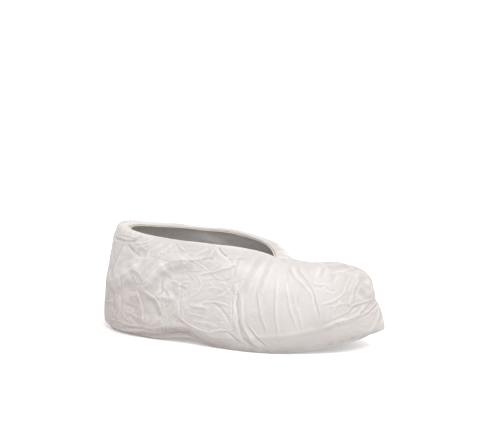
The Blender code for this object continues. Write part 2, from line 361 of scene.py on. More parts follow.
# %% Folds of the heel, lateral side
folds = {face: [] for face in VIEWS}
folds["lateral"] += [
    ridge(1.2, 14, 2.2, (-126, 104), (-129, 98), (-134, 88), (-138, 78), (-142, 62)),
    ridge(-0.8, 2.5, 3, (-125, 103), (-118, 97), (-111, 93), (-106, 91)),
    roll(-0.9, 6, 6, (-114, 98), (-107, 96), (-98, 95)),
    ridge(-0.9, 3, 7, (-146, 105), (-134, 106), (-122, 106), (-108, 111)),
    ridge(-0.5, 2, 3, (-139, 109), (-129, 110.5), (-117, 110), (-104, 114)),
    ridge(0.45, 2, 2, (-146, 101), (-138, 102.5), (-128, 101.5), (-121, 103)),
    ridge(0.4, 2, 2, (-120, 107), (-111, 106), (-103, 108), (-94, 113)),
    ridge(3.2, 12, 18, (-152, 55), (-142, 60), (-133, 66), (-124, 72), (-115, 79), (-103, 87)),
    ridge(-0.4, 2, 2, (-130, 70), (-128.5, 62), (-128, 52)),
    ridge(-0.3, 2, 3, (-123, 67), (-120, 60), (-118, 52)),
    ridge(0.35, 2, 2, (-124, 73), (-117, 77), (-111, 77), (-107, 74), (-104, 68)),
    ridge(0.6, 2, 3, (-115, 73), (-111, 67), (-107, 60)),
    ridge(-0.3, 2, 2, (-112, 76), (-106, 69), (-104, 60)),
    ridge(-0.5, 2, 3, (-140, 50), (-138, 40), (-136, 26)),
    ridge(0.35, 2.5, 2.5, (-132, 48), (-130.5, 39), (-129, 28)),
    ridge(1.6, 2, 10, (-112, 57), (-108, 48), (-104, 38), (-102, 28), (-102, 15)),
    ridge(1.5, 3, 4, (-104, 57), (-99, 55), (-93, 51), (-87, 48), (-83, 43), (-80, 37), (-75, 27)),
    ridge(-0.6, 4, 8, (-101, 51), (-95, 46), (-90, 42), (-85, 36), (-81, 28)),
    ridge(-0.5, 2, 5, (-124, 38), (-116, 36), (-107, 33)),
    ridge(0.5, 2, 2, (-124, 30), (-116, 27), (-107, 24)),
    ridge(-0.5, 2, 2, (-130, 30), (-126, 22), (-119, 16)),
    ridge(-0.4, 2, 2, (-118, 28), (-112, 20), (-106, 16)),
    ridge(2.9, 9, 14, (-108, 52), (-98, 66), (-91, 76), (-83, 84), (-75, 90), (-62, 93), (-36, 96)),
    roll(-1.3, 7, 9, (-98, 52), (-89, 65), (-81, 73), (-70, 80), (-58, 84), (-44, 86)),
    roll(-1.0, 8, 10, (-146, 44), (-132, 50), (-120, 57), (-110, 66)),
    ridge(0.5, 3, 4, (-116, 99), (-106, 103), (-95, 110)),
    ridge(0.5, 3, 4, (-101, 97), (-92, 102), (-83, 110)),
    ridge(0.4, 3, 4, (-90, 95), (-81, 101), (-72, 109)),
    ridge(0.35, 3, 2.5, (-67, 109), (-58, 104), (-49, 98)),
    ridge(0.4, 4, 2.5, (-46, 100), (-40, 103), (-31, 109)),
    ridge(0.45, 5, 2, (-80, 92), (-70, 93), (-57, 94), (-46, 95), (-34, 98)),
    ridge(1.3, 8, 5, (-95, 53), (-86, 52), (-76, 51.5), (-68, 52), (-58, 54)),
    ridge(1.5, 1.8, 9, (-61, 74), (-60.5, 62), (-60, 52), (-60, 42), (-60, 30)),
    ridge(0.9, 2, 3, (-73, 72), (-66, 69), (-59, 67), (-50, 66)),
    ridge(0.5, 2, 2, (-63, 67), (-57, 70), (-48, 72)),
    ridge(-0.6, 3, 3, (-82, 80), (-80.5, 66), (-80, 50)),
    ridge(-0.5, 2, 3, (-84, 62), (-77, 58), (-71, 52)),
    ridge(-0.4, 2, 2, (-70, 64), (-67, 58), (-64, 54)),
    ridge(0.7, 2, 2.5, (-64, 36), (-58, 31), (-52, 26.5), (-45, 23), (-35, 20), (-20, 18)),
    roll(1.0, 8, 8, (-108, 23), (-90, 24), (-70, 26)),
    ridge(0.7, 2, 4, (-142, 15), (-128, 16), (-115, 14), (-98, 17)),
    ridge(0.6, 2, 4, (-118, 8), (-104, 10), (-88, 9)),
    ridge(-0.8, 3, 3, (-128, 11), (-112, 11), (-94, 13)),
    roll(-1.4, 8, 8, (-92, 8), (-78, 11), (-60, 12), (-40, 10)),
]
print("folds of the heel:", len(folds["lateral"]))

# %% Folds of the waist, lateral side
folds["lateral"] += [
    ridge(0.8, 8, 2, (-42, 80), (-33, 82), (-26, 83.5), (-18, 86.5), (-10, 89.5), (0, 95)),
    ridge(-1.3, 1.8, 1.8, (-22, 111), (-20, 108), (-17.5, 105), (-10, 99)),
    ridge(0.35, 2, 2, (-27, 111), (-23, 106), (-17, 99)),
    ridge(0.6, 2.5, 2, (-33, 95), (-29, 101), (-26, 108)),
    ridge(-0.5, 2, 2, (-39, 94), (-32, 98), (-24, 96)),
    ridge(-0.3, 2, 2, (-12, 100), (-6, 96), (-1, 88)),
    ridge(-0.3, 2, 2, (1, 100), (0, 92), (-1, 80)),
    ridge(0.55, 2, 2, (-36, 49), (-28, 52), (-21, 53), (-12, 52), (0, 49)),
    ridge(-0.6, 2.5, 2, (-28, 53), (-18, 49.5), (-12, 45.5), (-7, 41), (0, 31)),
    ridge(0.7, 5, 2, (-50, 48), (-44, 46.5), (-39, 45.5), (-31, 46)),
    ridge(0.9, 6, 13, (-56, 42), (-44, 45), (-34, 46), (-20, 44)),
    ridge(0.6, 2, 2, (-28, 18), (-19, 21.5), (-11, 23.5), (-4, 23), (4, 19)),
    ridge(-0.9, 2.5, 2, (-10, 24), (-2, 21.5), (4, 16.5), (12, 9)),
    ridge(0.25, 2, 2, (-53, 39), (-45, 37), (-38, 36), (-24, 34)),
    ridge(0.25, 2, 2, (-47, 31), (-36, 29), (-26, 29), (-12, 25)),
    ridge(-0.25, 2, 2, (-44, 27), (-32, 24), (-18, 24)),
    ridge(0.3, 1.8, 1.8, (-45, 82), (-38, 75), (-36, 68), (-39, 63), (-50, 54)),
    ridge(0.3, 2, 2, (-34, 65), (-22, 68), (-10, 66)),
    ridge(0.3, 2, 2, (-22, 58), (-12, 62), (-2, 72)),
    ridge(-0.3, 2, 2, (-24, 78), (-14, 76), (-2, 80)),
    roll(-0.4, 6, 6, (26, 104), (19, 92), (14, 80), (11, 70), (9, 56)),
    roll(0.5, 4, 4, (0, 76), (2, 70), (3.5, 63)),
    ridge(-0.9, 1.8, 1.8, (3.5, 70), (4.5, 62), (4.5, 54), (6, 46), (8, 36)),
    ridge(1.2, 5, 2.6, (8.5, 68), (9, 60), (10, 50), (10.8, 42), (12, 34), (15, 27), (20, 19), (26, 11),
        (34, 4)),
    ridge(-0.8, 2, 3, (7, 44), (8, 36), (9.5, 28), (13, 20), (19, 12), (28, 4)),
    ridge(0.6, 2, 2, (0, 64), (1, 54), (2, 42), (5, 30), (10, 18)),
    ridge(0.5, 2, 2, (3, 50), (5, 40), (7, 31), (12, 19)),
    ridge(0.4, 2, 2, (-3, 60), (-2, 50), (0, 38), (3, 28)),
]
print("folds of the heel and the waist:", len(folds["lateral"]))

# %% Folds of the forefoot and the toe, lateral side
folds["lateral"] += [
    ridge(-0.7, 2, 2, (15, 34), (18, 30), (23, 24), (29, 17), (38, 9)),
    ridge(0.5, 2, 2, (18, 34), (22, 29), (28, 21), (36, 13), (42, 9)),
    ridge(-0.6, 2, 2, (26, 22), (32, 16), (40, 8)),
    roll(-0.3, 5, 5, (36, 102), (32, 92), (29, 80), (27, 70), (26, 58)),
    ridge(0.55, 6, 1.6, (26, 74), (27, 62), (29, 53), (31, 45), (34, 37), (37.5, 29), (41, 19)),
    ridge(0.5, 6, 1.6, (44, 84), (45, 66), (46, 54), (47, 43), (49, 33), (52, 17)),
    ridge(0.45, 5, 1.6, (53, 80), (56, 69), (59, 60), (61.5, 51), (65, 42), (69, 33), (73, 26)),
    ridge(0.2, 4, 1.5, (62, 70), (65, 60), (67, 52), (70, 44)),
    ridge(0.3, 4, 1.5, (67, 56), (70.5, 48), (73, 40), (76, 28)),
    ridge(0.5, 4, 2, (46, 97), (53, 92), (58, 87), (64, 81.5), (70, 77), (76, 73), (82, 66)),
    ridge(-0.35, 2, 2, (56, 94), (63, 88), (69, 83), (78, 76)),
    ridge(-0.6, 1.6, 1.6, (72, 77), (79, 74), (83, 69), (85, 63), (87, 57), (89, 51), (92, 40)),
    ridge(0.25, 2, 2, (74, 75), (79, 71), (82, 66), (84, 58)),
    ridge(0.3, 4, 1.8, (77, 79), (83, 77.5), (90, 77), (103, 76)),
    ridge(-0.3, 1.6, 1.6, (80, 75.5), (86, 74.5), (93, 74)),
    ridge(-0.3, 1.6, 1.6, (94, 74), (99, 72), (106, 71)),
    ridge(0.25, 1.6, 1.6, (94, 71), (100, 69.5), (105, 67)),
    roll(-0.5, 8, 8, (84, 88), (94, 85), (105, 81)),
    ridge(0.4, 4, 2, (88, 56), (98, 59), (106, 62), (111, 66), (118, 72)),
    ridge(0.35, 4, 2, (98, 54), (106, 55.5), (114, 58), (119, 57.5), (124, 54)),
    ridge(0.3, 2, 2, (102, 49), (108, 56), (113, 64)),
    ridge(1.5, 3.5, 5, (93, 31), (100, 34.5), (106, 38), (113, 39.5), (120, 41), (126, 43.5), (131, 47.5),
        (139, 58)),
    ridge(-0.65, 2.5, 2.5, (101, 38), (108, 41), (114, 44), (119, 46.5), (124, 51), (131, 57)),
    ridge(0.6, 2.5, 3, (121, 54), (128, 56.5), (135, 58), (145, 60)),
    ridge(-0.6, 2, 2, (122, 52), (130, 54.5), (140, 57)),
    ridge(-0.7, 2, 2, (131, 43), (135, 48), (139, 53), (143, 57)),
    ridge(0.8, 2, 2.5, (127, 43), (134, 45), (140, 47.5), (143, 50.5), (148, 57)),
    ridge(-0.8, 2, 2, (138, 44), (143, 47.5), (147, 52), (149, 58)),
    ridge(0.6, 2, 2, (143, 43), (147, 47.5), (150, 53)),
    ridge(0.9, 3, 3, (148, 56), (149, 48), (149, 41), (147, 33), (144, 26), (138, 22)),
    ridge(-0.7, 2, 2, (151, 48), (152, 38), (151, 28)),
    roll(-0.6, 6, 6, (124, 90), (131, 81), (133, 72), (131, 60)),
    ridge(1.4, 3, 7, (135, 84), (139, 73), (140, 65), (142, 54)),
    ridge(0.35, 3, 3, (119, 86), (116, 76), (113, 66)),
    ridge(0.3, 3, 3, (123, 84), (120, 75), (118, 66)),
    ridge(-0.6, 3, 3, (129, 82), (127, 73), (124, 60)),
    ridge(0.55, 3, 4, (124, 68), (122, 61), (119, 54)),
    ridge(0.6, 3, 3, (104, 89), (112, 88), (119, 86.5), (129, 82)),
    roll(0.25, 5, 5, (12, 18), (46, 22), (62, 25), (80, 29), (101, 33)),
]
print("folds of the lateral side:", len(folds["lateral"]))

# %% [markdown]
# The other sides were not in view, so their folds are laid out as such a bag takes them: the medial side
# answers the waist fold and the fan, the back of the heel hangs in upright folds, and the toe is drawn
# together over its corner.

# %% Folds of the medial side
folds["medial"] += [
    ridge(1.1, 5, 2.5, (-6, 100), (-4, 84), (0, 66), (2, 48), (-2, 30), (-10, 12)),
    ridge(-0.8, 2, 3, (-12, 96), (-9, 78), (-5, 60), (-4, 44), (-9, 26)),
    roll(-0.5, 6, 6, (24, 102), (19, 90), (16, 76)),
    roll(-0.4, 5, 5, (36, 98), (32, 86), (30, 72)),
    ridge(0.6, 6, 1.8, (36, 92), (31, 76), (29, 60), (32, 42), (38, 24)),
    ridge(0.5, 6, 1.8, (47, 90), (46, 72), (48, 56), (53, 38), (60, 26)),
    ridge(0.4, 5, 1.6, (57, 88), (59, 72), (63, 56), (70, 40)),
    ridge(0.3, 4, 1.6, (20, 84), (18, 66), (19, 50), (24, 34)),
    ridge(0.7, 4, 2, (56, 93), (70, 82), (82, 72), (92, 58)),
    ridge(1.7, 11, 13, (-156, 56), (-134, 66), (-120, 76), (-106, 88)),
    ridge(1.6, 8, 12, (-104, 54), (-90, 74), (-78, 86), (-60, 92), (-44, 94)),
    ridge(0.7, 6, 2, (-78, 90), (-62, 92), (-44, 96)),
    ridge(0.9, 2, 9, (-56, 74), (-57, 58), (-55, 44), (-54, 30)),
    ridge(1.0, 2, 9, (-112, 60), (-105, 44), (-104, 28), (-106, 14)),
    ridge(0.9, 6, 3, (-92, 52), (-78, 50), (-66, 53), (-54, 54)),
    ridge(1.1, 3, 2.4, (-100, 55), (-88, 48), (-82, 40), (-79, 26)),
    ridge(0.6, 2, 2.5, (-60, 34), (-48, 25), (-34, 20), (-18, 19)),
    ridge(0.8, 8, 2, (-42, 82), (-26, 85), (-10, 92)),
    ridge(-0.6, 2, 3, (-62, 111), (-56, 106), (-46, 99)),
    ridge(0.5, 3, 4, (-102, 98), (-93, 103), (-84, 110)),
    ridge(0.5, 3, 4, (-44, 98), (-36, 102), (-27, 109)),
    ridge(0.5, 2, 2, (-38, 49), (-22, 53), (-6, 49)),
    ridge(0.4, 2, 2, (-46, 62), (-34, 70), (-22, 67)),
    ridge(-0.5, 2, 3, (-124, 48), (-120, 36), (-123, 22)),
    ridge(-0.5, 2, 3, (-139, 52), (-135, 38), (-138, 22)),
    ridge(-0.6, 2, 3, (-128, 100), (-133, 90), (-138, 76)),
    ridge(-0.5, 2, 2, (-30, 42), (-20, 33), (-10, 22)),
    ridge(1.2, 3, 5, (92, 32), (108, 39), (120, 43), (136, 57)),
    ridge(-0.8, 2.5, 2.5, (102, 42), (114, 48), (128, 59)),
    ridge(0.5, 3, 2, (94, 56), (110, 60), (126, 67)),
    ridge(0.4, 2, 2, (84, 68), (98, 70), (110, 77)),
    roll(-0.7, 8, 8, (106, 70), (118, 74), (128, 80)),
    roll(0.25, 5, 5, (14, 18), (46, 22), (62, 25), (80, 29), (101, 34)),
    roll(-1.2, 8, 8, (-92, 8), (-78, 11), (-60, 12), (-42, 10)),
]
print("folds of the medial side:", len(folds["medial"]))

# %% Folds of the top, the back and the toe
folds["top"] += [
    roll(0.9, 7, 7, (44, 1), (66, 5), (92, 8)),
    roll(-0.9, 7, 7, (44, 9), (62, 15), (86, 22)),
    ridge(0.5, 3, 3, (58, -5), (78, -3), (98, 2)),
    roll(-1.0, 9, 9, (90, -8), (104, 3), (114, 14)),
    ridge(0.6, 3, 3, (98, -16), (112, -5), (122, 9)),
    ridge(0.5, 3, 3, (72, 14), (90, 18), (106, 26)),
]
folds["back"] += [
    ridge(0.8, 5, 2.5, (-14, 110), (-15, 92), (-19, 72)),
    ridge(0.7, 3, 6, (4, 112), (5, 92), (2, 74), (4, 54)),
    ridge(-0.7, 3, 3, (16, 108), (19, 90), (25, 72)),
    ridge(0.6, 9, 12, (-34, 59), (-18, 64), (2, 62), (22, 66), (36, 60)),
    ridge(0.5, 2, 2, (-7, 58), (-12, 42), (-10, 24)),
    ridge(-0.5, 2, 2, (10, 54), (15, 38), (12, 20)),
    ridge(0.5, 3, 2, (-28, 38), (-14, 31), (-2, 29)),
    ridge(0.5, 3, 2, (4, 19), (16, 18), (28, 23)),
]
folds["front"] += [
    roll(-0.9, 6, 6, (-16, 76), (-9, 64), (0, 56)),
    roll(0.8, 6, 6, (-4, 82), (2, 70), (8, 60)),
    ridge(0.7, 3, 3, (30, 74), (24, 64), (18, 55)),
    roll(-0.8, 6, 6, (22, 80), (17, 70), (14, 60)),
    ridge(0.6, 2.4, 2.4, (-18, 50), (-6, 46), (6, 50)),
    ridge(0.6, 2.4, 2.4, (34, 48), (26, 44), (19, 48)),
]
main_folds = press(folds)
print(sum(len(rows) for rows in folds.values()), "main folds:", in_mm(main_folds))

# %% [markdown]
# ## Small creases
# Between the folds the sheet is crinkled like paper, most of all round the heel. Noise looks like stone
# here, since crumpled sheet has short straight ridges. So each small crease is a sharp crest on a short
# straight line, through a drawn place and in a drawn direction. Only how many there are, and where, is given
# in a table.

# %% Scatter the small creases
SMALL_LINE = 0.45             # strength of the line of a small crease, against that of a main fold
SMALL_WIDTHS = (1.4, 2.2)     # how far a small crease reaches to each side, in millimetres
SMALL_HEIGHTS = (0.4, 1.0)    # shares of its patch's height
# lean: the usual slope of a crease over the ground, in degrees. stray: how far it departs from that.
Patch = namedtuple("Patch", "x_from x_to z_from z_to count shortest longest height lean stray")
PATCHES = (
    Patch(-150, -55, 8, 66, 150, 4, 12, 0.36, 0, 90),
    Patch(-150, -60, 66, 104, 24, 4, 14, 0.12, 30, 60),
    Patch(-60, 5, 12, 100, 80, 4, 16, 0.20, 0, 60),
    Patch(5, 95, 30, 100, 40, 6, 20, 0.06, 75, 30),
    Patch(90, 148, 30, 92, 40, 5, 14, 0.11, 25, 45),
    Patch(-150, 45, 4, 14, 50, 5, 14, 0.24, 0, 25),
)


def scatter(patch):
    """Sum of short crests: (1 - |across| / width)^2 beside a straight line, easing out over its length."""
    relief = np.zeros(wall.shape[:2])
    inside = (wall_x > patch.x_from) & (wall_x < patch.x_to) & (share_up < FOLD_SHARE)
    inside &= (wall_z > patch.z_from) & (wall_z < patch.z_to)
    places = LUCK.choice(np.argwhere(inside), patch.count)
    leans = np.radians(patch.lean + LUCK.uniform(-patch.stray, patch.stray, patch.count))
    lengths = LUCK.uniform(patch.shortest, patch.longest, patch.count)
    widths = LUCK.uniform(*SMALL_WIDTHS, patch.count)
    heights = patch.height * LUCK.uniform(*SMALL_HEIGHTS, patch.count) * LUCK.choice([-1, 1], patch.count)
    for (row, column), lean, length, width, height in zip(places, leans, lengths, widths, heights):
        normal = wall_normal[row, column]
        level = np.cross((0, 0, 1), normal)
        level /= np.linalg.norm(level)
        level *= np.sign(level[0]) or 1
        line = np.cos(lean) * level + np.sin(lean) * np.cross(level, normal) * -np.sign(normal[1] or 1)
        apart = wall - wall[row, column]
        along = np.abs(apart @ line) / length
        across = apart @ np.cross(normal, line)
        near = (np.abs(apart @ normal) < length) & (np.abs(across) < LINE_REACH) & (along < 1)
        shown = 1 - ease(along[near])
        relief[near] += height * np.clip(1 - np.abs(across[near]) / width, 0, 1) ** 2 * shown
        note_line(near, across[near], SMALL_LINE * np.sign(height) * shown)
    return relief


small_creases = sum(scatter(patch) for patch in PATCHES)
print(sum(patch.count for patch in PATCHES), "small creases:", in_mm(small_creases))

# %% [markdown]
# A crumpled page stays flat between its creases. So the sheet also gets flat facets: a grid of triangles
# whose corners have drawn heights. The lines of the grid are bent, or its rows would show. One grid is
# coarse and one is fine, and both are strongest at the heel, where the sheet is most crumpled.

# %% Facets between the creases
FACETS = ((48, 14, 0.42), (84, 26, 0.20))              # how many round the foot, how many up, and how high
ROUND_BENDS = ((0.8, 7, 1.7), (0.5, 4, -2.6))          # of upright lines: size, turns round and turns up
UPWARD_BENDS = ((0.6, 9, 0.9),)                        # of level lines
CRUSH_X = (-170, -120, -70, 0, 45, 90, 120, 160)
CRUSH = (1.5, 1.7, 1.5, 0.7, 0.25, 0.25, 0.4, 0.6)     # strength of the facets, from heel to toe
COLLAR_CRUSH, COLLAR_FADE = 0.4, 0.2                   # what is left at the collar, and the fading share
LATERAL_CRUSH = 0.75                                   # less on the lateral side, where main folds do most
SPARE_ROWS = 3                                         # of corners, for where the bends go past both edges
round_place = np.arange(COLUMNS) / COLUMNS             # from 0 to 1 round the foot


def bent(bends):
    """How far the lines of a grid are bent, in its cells: a sum of sines of the place round and up."""
    turns = [(size, around * round_place + upward * share_up) for size, around, upward in bends]
    return sum(size * np.sin(2 * np.pi * turn) for size, turn in turns)


def facets(round_count, up_count, height):
    """Drawn heights at the corners of a bent grid. Each cell is two flat triangles, cut either way."""
    rows = up_count + SPARE_ROWS
    heights = LUCK.uniform(-height, height, (rows, round_count))
    slash = LUCK.random((rows, round_count)) < 0.5
    across = (round_count * round_place + bent(ROUND_BENDS)) % round_count
    upward = np.clip(1 + up_count * share_up + bent(UPWARD_BENDS), 0, rows - 1.1)     # inside the last row
    column, row = across.astype(int) % round_count, upward.astype(int)
    beside, part, above = (column + 1) % round_count, across % 1, upward % 1
    flip = slash[row, column]
    part = np.where(flip, 1 - part, part)
    left, right = np.where(flip, beside, column), np.where(flip, column, beside)
    a, b, c, d = heights[row, left], heights[row, right], heights[row + 1, left], heights[row + 1, right]
    lower = a + part * (b - a) + above * (c - a)
    higher = d + (1 - part) * (c - d) + (1 - above) * (b - d)
    return np.where(part + above < 1, lower, higher)


crushing = through(CRUSH_X, CRUSH, wall_x) * np.where(np.sin(angle) > 0, LATERAL_CRUSH, 1.0)
crushing *= COLLAR_CRUSH + (1 - COLLAR_CRUSH) * ease((FOLD_SHARE - share_up) / COLLAR_FADE)
crushed = crushing * sum(facets(*grid) for grid in FACETS)
print("crushed facets:", in_mm(crushed))

# %% [markdown]
# ## Gathers, slack and the bottom edge
# The elastic is shorter than the collar, so the sheet pleats below it, most at the heel and the throat.
# Pleats are a wave along the collar whose crests are sharp and whose spacing wanders. The wave fades out
# down the wall. A few long, soft waves make the wall a little slack, and shallow scallops run along the
# bottom edge.
#
# Above that edge the sheet turns in, as it is drawn under the foot. The turn is low at the heel and high
# at the forefoot, where a band shows below it. All this is added up as one relief, the distance that a
# place of the wall moves out along its normal. At the rim the relief is kept shallow, so that the sheet
# always covers the elastic.

# %% Gathers along the collar
PLEATS = ((58, 0.75, 0.17), (97, 0.35, 0.10))      # how many, how high, and how long as a share of the wall
SPACING_TURNS, SPACING_DRIFT = (3, 5, 8, 13), 0.9
LENGTH_TURNS, LENGTH_DRIFT = (4, 7, 11, 17), 0.22
EDGE_LOSS = 0.75                                   # how much of a pleat is gone at the collar's edge
GATHER, HEEL_GATHER, THROAT_GATHER = 0.03, 0.60, 0.30
HEEL_POWER, THROAT_POWER = 10, 12                  # the higher, the closer the gathers keep to that end
fold_length = length_along(ring_points(FOLD_RING, angle))
turn = 2 * np.pi * fold_length / (fold_length[-1] + fold_length[1])     # from 0 to 2 pi round the collar


def wander(turns, size):
    """A closed wave round the collar: a sum of sines with whole numbers of turns and drawn phases."""
    phases = LUCK.uniform(0, 2 * np.pi, len(turns))
    return size * sum(np.sin(count * turn + phase) for count, phase in zip(turns, phases))


def pleats(count, height, length):
    """Crests |sin| turned upside down, spaced by a wandering phase, fading down from the collar's fold."""
    crest = 1 - 2 * np.abs(np.sin((count * turn + wander(SPACING_TURNS, SPACING_DRIFT)) / 2))
    reach = length * (1 + wander(LENGTH_TURNS, LENGTH_DRIFT))
    below = ease(1 - (FOLD_SHARE - share_up) / reach)
    within = 1 - EDGE_LOSS * smooth_step(share_up, FOLD_SHARE, 1)
    return height * crest * np.where(share_up < FOLD_SHARE, below, within)


heelward = (1 + np.cos(angle)) / 2
gathering = GATHER + HEEL_GATHER * heelward**HEEL_POWER + THROAT_GATHER * (1 - heelward) ** THROAT_POWER
gathers = gathering * sum(pleats(*row) for row in PLEATS)
print("gathers:", in_mm(gathers))

# %% Slack in the wall, and scallops along the bottom
SLACK_WAVES, SLACK_HEIGHT, SLACK_LENGTH = 14, 0.22, 46.0
SEAM_SLACK, EDGE_SLACK = 0.2, 0.15      # shares over which the slack grows, from the seam and the collar
SCALLOPS, SCALLOP_DEPTH, SCALLOP_SHARE = 46, 1.0, 0.19
SCALLOP_TURNS, SCALLOP_DRIFT = (2, 5, 9), 0.8
direction = LUCK.normal(size=(SLACK_WAVES, 3))
direction *= 2 * np.pi / SLACK_LENGTH / np.linalg.norm(direction, axis=1, keepdims=True)
slack = SLACK_HEIGHT * np.sin(wall @ direction.T + LUCK.uniform(0, 2 * np.pi, SLACK_WAVES)).sum(-1)
slack *= ease(share_up / SEAM_SLACK) * ease((1 - share_up) / EDGE_SLACK)
scallop = SCALLOP_DEPTH * (1 + np.sin(SCALLOPS * turn + wander(SCALLOP_TURNS, SCALLOP_DRIFT))) / 2
scallop = scallop * (1 - ease(share_up / SCALLOP_SHARE))
print("slack:", in_mm(slack), "scallops:", in_mm(scallop))

# %% Bottom edge that turns in, and the relief in all
WELT_X = (-157, -110, -95, -45, -10, 15, 45, 80, 155)
WELT_LIFT = (7, 8, 14, 15, 15, 18, 22, 25, 25)      # height over the sole where the sheet turns in
UNDERCUT_X = (-157, -120, -60, 0, 60, 155)
UNDERCUT = (0.30, 0.34, 0.38, 0.20, 0.12, 0.10)     # millimetres inwards for each millimetre down from there
CORNER_LENGTH = 25.0                                # the turn dies out over this at the corner of the toe
SEAM_SHARE = 0.05                                   # the relief dies out below it, so the seam lies flat
RIM_DEPTH, RIM_EASE = 0.7, 40.0                     # deepest relief at the rim, and its growth below
FLOOR_CLEARANCE = 0.1

lift = wall_z - sole_line(wall_x)
welt_lift = through(WELT_X, WELT_LIFT, wall_x)
undercut = np.clip(welt_lift - lift, 0, None) * np.interp(wall_x, UNDERCUT_X, UNDERCUT)
undercut *= np.clip(share_up / EDGE_SHARE, 0, 1) * ease((TOE_FACE - wall_x) / CORNER_LENGTH)
relief = main_folds + small_creases + crushed + gathers + slack - scallop - undercut
relief *= ease(share_up / SEAM_SHARE)
relief = np.maximum(relief, -RIM_DEPTH - RIM_EASE * np.clip(FOLD_SHARE - share_up, 0, None))
sheet = wall + relief[..., None] * wall_normal
sheet[..., 2] = np.maximum(sheet[..., 2], FLOOR_CLEARANCE)
print("undercut:", in_mm(undercut), "relief of the sheet:", in_mm(relief))

# %% [markdown]
# ## The sheet as a closed shell
# The sheet has an inner face too, which shows through the collar. It lies a wall's thickness inside the
# deepest fold nearby, so that it never comes through, and it needs only a quarter of the columns. Fans of
# triangles join the two faces at both edges. Solidify would double the whole grid, and would cross itself
# in the sharp creases.

# %% Inner face
INNER_SKIP = 4        # the inner face keeps one column and one row in this many
LINING_REACH = 5      # columns and rows on each side in which the deepest fold is looked for


def windows(field, reach):
    """The values within some columns and rows of each place. Columns close on themselves, rows do not."""
    padded = np.pad(field, ((0, 0), (reach, reach)), mode="wrap")
    padded = np.pad(padded, ((reach, reach), (0, 0)), mode="edge")
    return np.lib.stride_tricks.sliding_window_view(padded, (2 * reach + 1, 2 * reach + 1))


lining_wall = wall_surface(angle, share, with_fin=False)
lining_relief = windows(relief, LINING_REACH).min(axis=(2, 3)) - WALL_THICKNESS
lining = lining_wall + lining_relief[..., None] * outward(lining_wall)
lining[..., 2] = np.maximum(lining[..., 2], FLOOR_CLEARANCE + WALL_THICKNESS)
inner_rows = np.unique(np.append(np.arange(0, ROWS, INNER_SKIP), ROWS - 1))
inner = lining[inner_rows][:, ::INNER_SKIP]
print("inner face:", inner.shape[:2])


# %% Faces of grids
def band_faces(rows, columns, first=0):
    """Quads between neighbouring rows and columns of a grid that closes on itself, facing out."""
    row, column = np.mgrid[0 : rows - 1, 0:columns]
    beside = (column + 1) % columns
    corners = [row * columns + column, row * columns + beside]
    corners += [corner + columns for corner in reversed(corners)]
    return np.stack(corners, axis=-1).reshape(-1, 4) + first


def fan_faces(fine, coarse):
    """Five triangles for each step of a coarse row, above a fine row with four times its points."""
    f = [np.roll(fine, -step)[::INNER_SKIP] for step in range(INNER_SKIP + 1)]
    c = [coarse, np.roll(coarse, -1)]
    fans = [(f[0], f[1], c[0]), (f[1], f[2], c[0]), (f[2], c[1], c[0])]
    fans += [(f[2], f[3], c[1]), (f[3], f[4], c[1])]
    return np.concatenate([np.stack(fan, axis=-1) for fan in fans])


print("first quad of a band of four columns:", band_faces(2, 4)[0].tolist())


# %% A piece from points and faces
def add_mesh(name, points, faces):
    """Makes a smooth-shaded piece from points in millimetres and groups of faces."""
    mesh = bpy.data.meshes.new(name)
    lists = [face for group in faces for face in group.tolist()]
    mesh.from_pydata((points.reshape(-1, 3) * MM).tolist(), [], lists)
    mesh.shade_smooth()
    piece = bpy.data.objects.new(name, mesh)
    bpy.context.scene.collection.objects.link(piece)
    triangles = sum(len(face) - 2 for face in lists)
    print(f"{name}: {len(mesh.vertices)} points, {triangles} triangles")
    return piece


# %% The upper
outer_count = COLUMNS * ROWS
inner_columns = COLUMNS // INNER_SKIP
outer_first, outer_last = np.arange(COLUMNS), np.arange(COLUMNS) + outer_count - COLUMNS
inner_first = np.arange(inner_columns) + outer_count
inner_last = inner_first + inner_columns * (len(inner) - 1)
upper = add_mesh(
    "overshoe_upper",
    np.concatenate([sheet.reshape(-1, 3), inner.reshape(-1, 3)]),
    [
        band_faces(ROWS, COLUMNS),
        band_faces(len(inner), inner_columns, outer_count)[:, ::-1],
        fan_faces(outer_last, inner_last),
        fan_faces(outer_first, inner_first)[:, ::-1],
    ],
)
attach(upper, "root")
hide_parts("upper")

# %% [markdown]
# ## Marks for the finish
# Sharp crests of this sheet turn whiter, because its fibres part there, and the whiter crests are partly a
# painted highlight as well; the greyer bottom of a crease is painted shade. Both follow from the relief
# itself: where a place stands above the mean of its surroundings it is a crest, and where it lies below it
# is a crease. The fine lines of the ridges were noted as the folds were pressed; in the colour they add the
# same painted highlight on ridges and painted shade in troughs.
#
# The sheet is also painted greyer and a little warmer where it would lie in shade: round the heel, under the
# arch, along the bottom, on the side of the forefoot and over the toe. This is painted shade. An image map
# could hold this, but smooth steps of the place and the height are enough. Each of these marks goes onto the
# mesh as an attribute, which the material reads.

# %% Crests, creases and lines
CREST_HEIGHT = 0.10                                 # a crest this far above its surroundings is fully white
CREST_REACH = 2                                     # columns and rows on each side that it is set against
RIM_HIGHLIGHT, RIM_FROM, RIM_FULL = 0.6, 0.90, 0.96     # painted highlight on the collar's rim, between these shares
LINE_FROM, LINE_GONE = 1.2, 2.0                     # a line fades between these distances, in millimetres
LINE_X = (-150, -60, 20, 90)
LINE_SHARPNESS = (1.6, 1.2, 0.9, 0.75)              # of the lines, from heel to toe

# Crests whiten the colour, partly as parted fibres and partly as painted highlight; creases grey it as
# painted shade.
crest = (relief - windows(relief, CREST_REACH).mean(axis=(2, 3))) / CREST_HEIGHT
# The rim's share adds a painted highlight along the collar's edge.
crest = np.clip(crest + RIM_HIGHLIGHT * smooth_step(share_up, RIM_FROM, RIM_FULL), -1, 1)
line_strength *= 1 - smooth_step(np.abs(line_distance), LINE_FROM, LINE_GONE)
line_strength *= np.interp(wall_x, LINE_X, LINE_SHARPNESS)
print("crests cover", round(float((crest > 0.5).mean()), 3), "of the wall")
